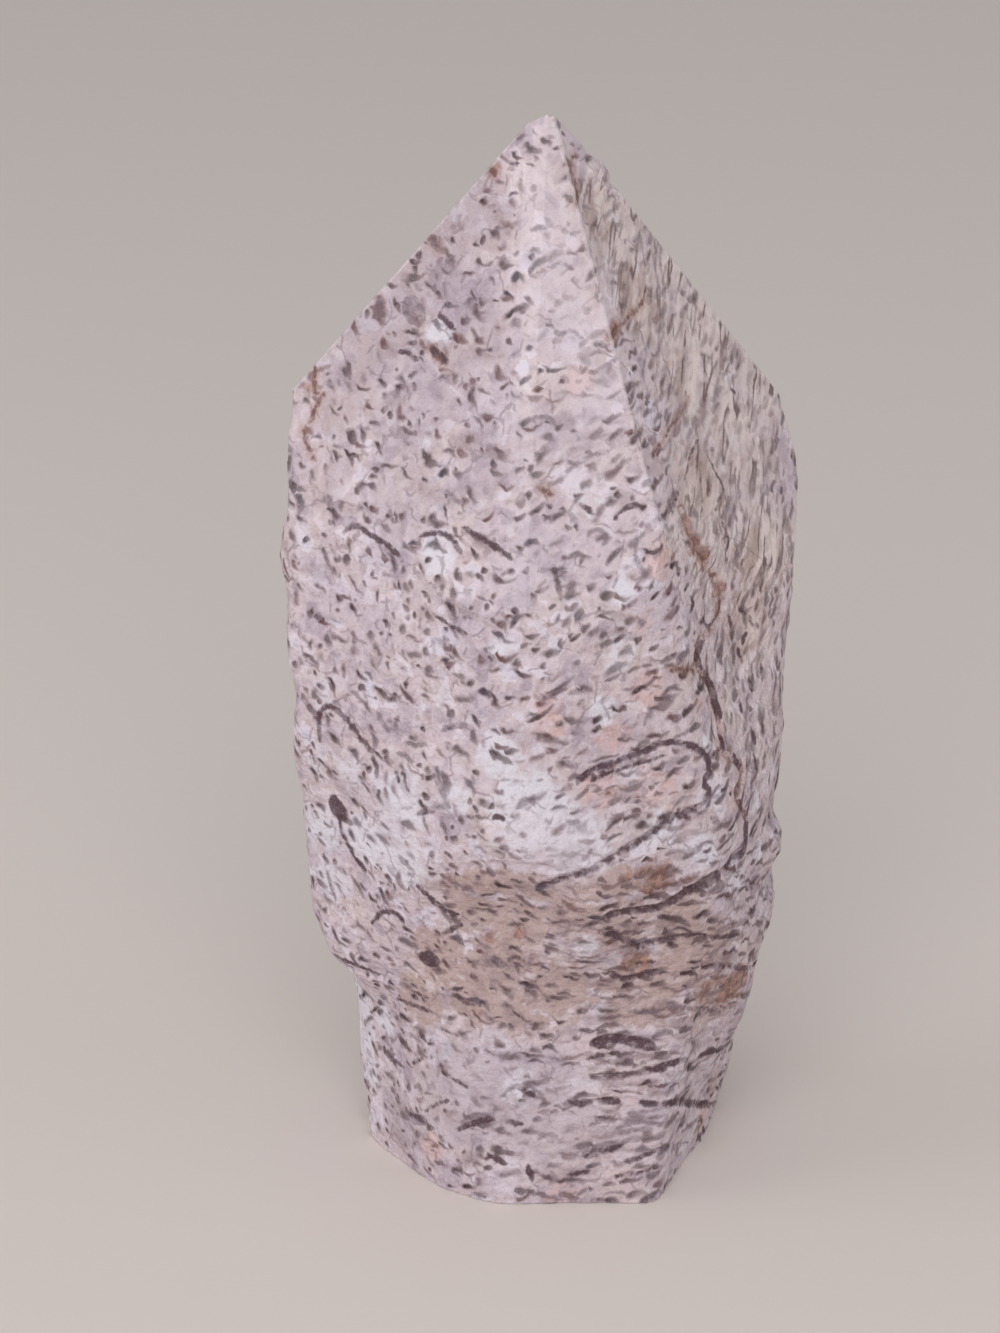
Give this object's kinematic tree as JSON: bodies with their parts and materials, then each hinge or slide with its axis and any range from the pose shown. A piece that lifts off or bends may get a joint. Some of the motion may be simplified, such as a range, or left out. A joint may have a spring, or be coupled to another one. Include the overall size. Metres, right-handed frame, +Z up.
{
  "type": "jasper point",
  "caption": "Upright stone point: rough broken sides, a narrower rough foot sawn flat underneath, and large smooth faces ground to a pointed tip.",
  "frame": {"origin": "on the sawn base, directly under the tip", "axes": "+Z up from the sawn base to the tip, -Y the side that faces the viewer, +X the viewer's right"},
  "size_m": [0.0721, 0.0612, 0.15],
  "materials": {
    "jasper": "pinkish grey speckled stone, dull and rough, semi-gloss on the ground faces"
  },
  "bodies": {
    "root": {"jasper_point": "jasper"}
  },
  "joints": []
}
